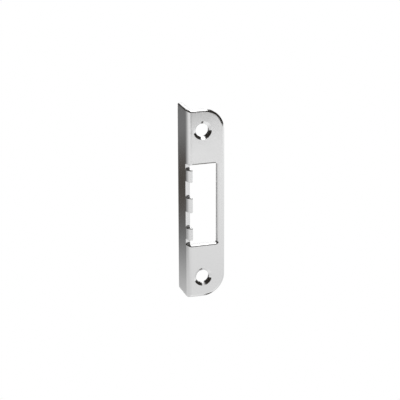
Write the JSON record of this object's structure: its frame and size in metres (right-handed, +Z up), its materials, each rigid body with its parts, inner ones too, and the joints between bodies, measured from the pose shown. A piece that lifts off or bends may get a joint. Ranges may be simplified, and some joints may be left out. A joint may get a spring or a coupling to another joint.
{
  "type": "door strike plate",
  "caption": "Angled door strike plate folded from satin steel sheet, with a castellated latch opening, round free corners and countersunk screw holes.",
  "frame": {"origin": "midway between the two screw holes, on the back of the face", "axes": "+X along the face, from the flange towards the free edge; +Y back into the door frame, the way the flange points; +Z up along the plate's length"},
  "size_m": [0.022, 0.018, 0.11],
  "materials": {
    "satin_steel": "satin stainless steel with polished edges"
  },
  "bodies": {
    "root": {"strike_plate": "satin_steel"}
  },
  "joints": []
}
